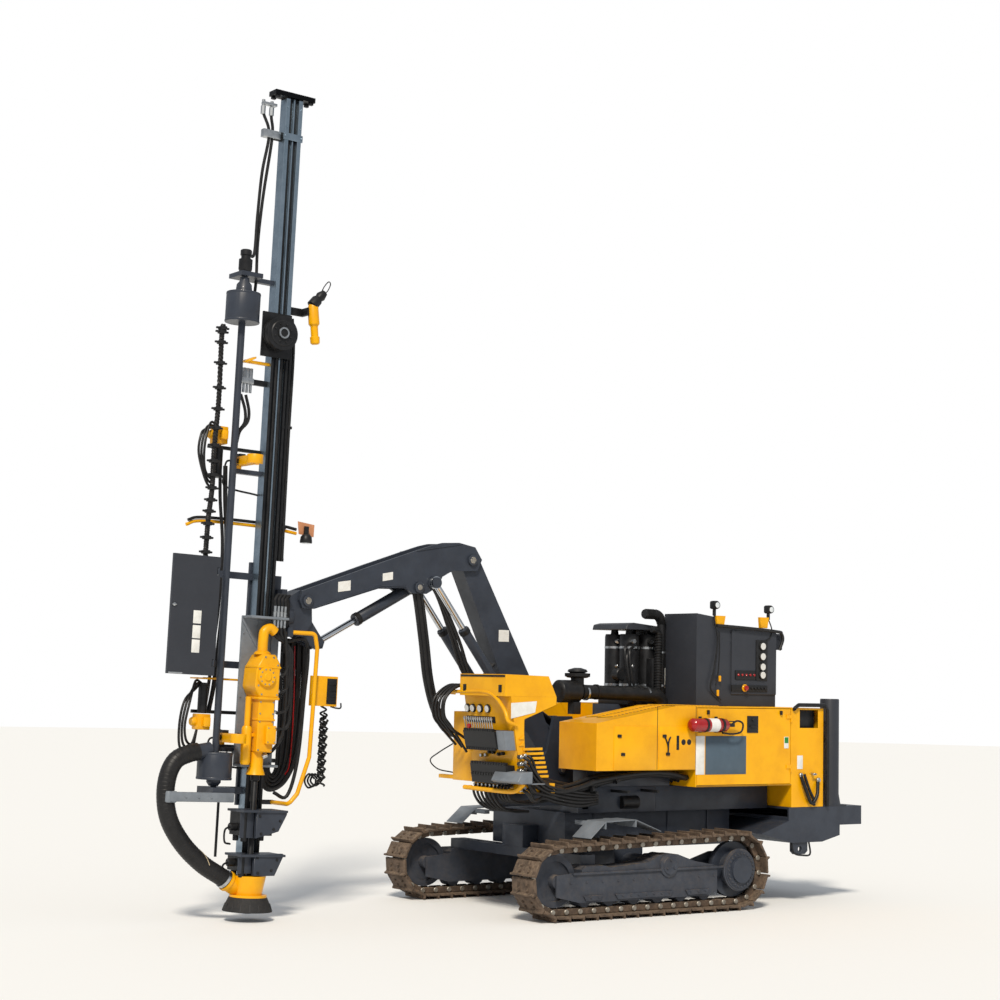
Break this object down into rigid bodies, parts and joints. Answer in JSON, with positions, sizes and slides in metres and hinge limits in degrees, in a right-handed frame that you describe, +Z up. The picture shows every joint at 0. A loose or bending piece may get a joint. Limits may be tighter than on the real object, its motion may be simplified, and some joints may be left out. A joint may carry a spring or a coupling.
{
  "type": "crawler drilling rig",
  "caption": "Crawler drilling rig with a folding boom, a tall feed beam with rock drill and rod magazine, cabinets and a service bay.",
  "frame": {"origin": "on the ground, below the middle of the whole rig's length and width", "axes": "+X forward towards the feed, +Y to the rig's left, +Z up"},
  "size_m": [7.11, 2.386, 7.3328],
  "materials": {
    "yellow_paint": "satin",
    "grey_paint": "satin",
    "dark_paint": "satin",
    "track_steel": "matte",
    "machine_steel": "satin",
    "hard_chrome": "polished",
    "aluminium": "satin",
    "rubber": "matte"
  },
  "bodies": {
    "carrier": {"left_track": "track_steel", "right_track": "track_steel", "track_frames": "dark_paint", "idlers_and_rollers": "track_steel", "final_drives": "dark_paint", "equaliser_beam": "dark_paint", "chassis": "dark_paint", "rear_bumper": "dark_paint", "engine_block": "dark_paint", "engine_cover": "yellow_paint", "left_front_deck": "yellow_paint", "right_tank": "yellow_paint", "rear_cabinet": "grey_paint", "rear_box": "yellow_paint", "rear_post": "grey_paint", "filter_rack": "dark_paint", "rack_roof": "grey_paint", "exhaust": "grey_paint", "air_intake": "rubber", "front_cabinet": "yellow_paint", "valve_bank": "machine_steel", "boom_base": "dark_paint"},
    "left_door": {"left_service_door": "yellow_paint"},
    "right_door": {"right_service_door": "yellow_paint"},
    "lid": {"cabinet_lid": "yellow_paint"},
    "foot": {"boom_foot": "dark_paint"},
    "lift_barrel": {"lift_cylinder_barrel": "dark_paint"},
    "lift_rod": {"lift_cylinder_rod": "hard_chrome"},
    "lower_boom": {"lower_arm": "dark_paint"},
    "fold_barrels": {"fold_cylinder_barrel": "dark_paint"},
    "fold_rods": {"fold_cylinder_rod": "hard_chrome"},
    "outer_boom": {"outer_arm": "dark_paint"},
    "tilt_barrel": {"tilt_cylinder_barrel": "dark_paint"},
    "tilt_rod": {"tilt_cylinder_rod": "hard_chrome"},
    "head": {"boom_head": "dark_paint"},
    "holder": {"feed_holder": "dark_paint"},
    "feed": {"feed_beam": "aluminium", "feed_brackets": "dark_paint", "centraliser": "yellow_paint", "suction_hood": "yellow_paint", "hood_skirt": "rubber", "lower_gripper": "dark_paint"},
    "drill": {"drill_cradle": "dark_paint", "rock_drill": "yellow_paint", "drill_rod": "machine_steel"},
    "trolley": {"hose_trolley": "dark_paint"},
    "magazine": {"rod_magazine": "dark_paint"},
    "gripper": {"upper_gripper": "dark_paint"},
    "guard": {"guard_panel": "grey_paint"}
  },
  "joints": [
    {"name": "left_door_hinge", "type": "hinge", "parent": "carrier", "child": "left_door", "pos_m": [-2.577, 1.006, 1.5], "axis": [0, 0, 1], "range_deg": [0, 100]},
    {"name": "right_door_hinge", "type": "hinge", "parent": "carrier", "child": "right_door", "pos_m": [-2.577, -1.006, 1.5], "axis": [0, 0, -1], "range_deg": [0, 100]},
    {"name": "lid_hinge", "type": "hinge", "parent": "carrier", "child": "lid", "pos_m": [0.25, 0.6, 1.9503], "axis": [0, -1, 0], "range_deg": [0, 70]},
    {"name": "boom_swing", "type": "hinge", "parent": "carrier", "child": "foot", "pos_m": [-0.86, -0.38, 1.06], "axis": [0, 0, 1], "range_deg": [-25, 25]},
    {"name": "boom_lift", "type": "hinge", "parent": "foot", "child": "lower_boom", "pos_m": [-0.74, -0.38, 1.249], "axis": [0, -1, 0], "range_deg": [-15, 20]},
    {"name": "boom_fold", "type": "hinge", "parent": "lower_boom", "child": "outer_boom", "pos_m": [0.367, -0.38, 3.206], "axis": [0, -1, 0], "range_deg": [-18, 12]},
    {"name": "feed_tilt", "type": "hinge", "parent": "outer_boom", "child": "head", "pos_m": [2.139, -0.38, 2.755], "axis": [0, 1, 0], "range_deg": [-60, 20]},
    {"name": "feed_swing", "type": "hinge", "parent": "head", "child": "holder", "pos_m": [2.30225, -0.38, 2.61143], "axis": [0.9995, 0, 0.0332], "range_deg": [-20, 20]},
    {"name": "feed_slide", "type": "slide", "parent": "holder", "child": "feed", "axis": [0.0332, 0, -0.9995], "range_m": [-0.9, 0.15]},
    {"name": "drill_slide", "type": "slide", "parent": "feed", "child": "drill", "axis": [-0.0332, 0, 0.9995], "range_m": [-0.1, 3]},
    {"name": "trolley_slide", "type": "slide", "parent": "feed", "child": "trolley", "axis": [-0.0332, 0, 0.9995], "range_m": [-0.06, 1.51]},
    {"name": "gripper_swing", "type": "hinge", "parent": "feed", "child": "gripper", "pos_m": [2.80286, -0.39, 3.95877], "axis": [-0.0332, 0, 0.9995], "range_deg": [0, 50]},
    {"name": "guard_hinge", "type": "hinge", "parent": "feed", "child": "guard", "pos_m": [3.1058, -0.115, 2.57805], "axis": [-0.0332, 0, 0.9995], "range_deg": [0, 100]},
    {"name": "magazine_spin", "type": "hinge", "parent": "feed", "child": "magazine", "pos_m": [2.93435, -0.25, 3.31277], "axis": [-0.0332, 0, 0.9995], "continuous": true},
    {"name": "lift_barrel_hinge", "type": "hinge", "parent": "foot", "child": "lift_barrel", "pos_m": [-0.42, -0.38, 1.19], "axis": [0, -1, 0], "range_deg": [-17.38, 22.84]},
    {"name": "lift_rod_slide", "type": "slide", "parent": "lift_barrel", "child": "lift_rod", "axis": [0.5022, 0, 0.8648], "range_m": [-0.0861, 0.1131]},
    {"name": "fold_barrel_hinge", "type": "hinge", "parent": "lower_boom", "child": "fold_barrels", "pos_m": [-0.156, -0.38, 1.75], "axis": [0, -1, 0], "range_deg": [-1.61, 1.41]},
    {"name": "fold_rod_slide", "type": "slide", "parent": "fold_barrels", "child": "fold_rods", "axis": [0.6172, 0, 0.7868], "range_m": [-0.1588, 0.1075]},
    {"name": "tilt_barrel_hinge", "type": "hinge", "parent": "outer_boom", "child": "tilt_barrel", "pos_m": [0.96, -0.38, 2.925], "axis": [0, -1, 0], "range_deg": [-3.19, 7.56]},
    {"name": "tilt_rod_slide", "type": "slide", "parent": "tilt_barrel", "child": "tilt_rod", "axis": [0.8804, 0, -0.4742], "range_m": [-0.1342, 0.3927]}
  ],
  "couplings": [
    {"joint": "trolley_slide", "follows": "drill_slide", "ratio": 0.5},
    {"joint": "lift_barrel_hinge", "follows": "boom_lift", "ratio": 1.0921},
    {"joint": "lift_rod_slide", "follows": "boom_lift", "m_per_rad": 0.3096},
    {"joint": "fold_barrel_hinge", "follows": "boom_fold", "ratio": 0.0338},
    {"joint": "fold_rod_slide", "follows": "boom_fold", "m_per_rad": 0.4895},
    {"joint": "tilt_barrel_hinge", "follows": "feed_tilt", "ratio": -0.1094},
    {"joint": "tilt_rod_slide", "follows": "feed_tilt", "m_per_rad": -0.3702}
  ]
}
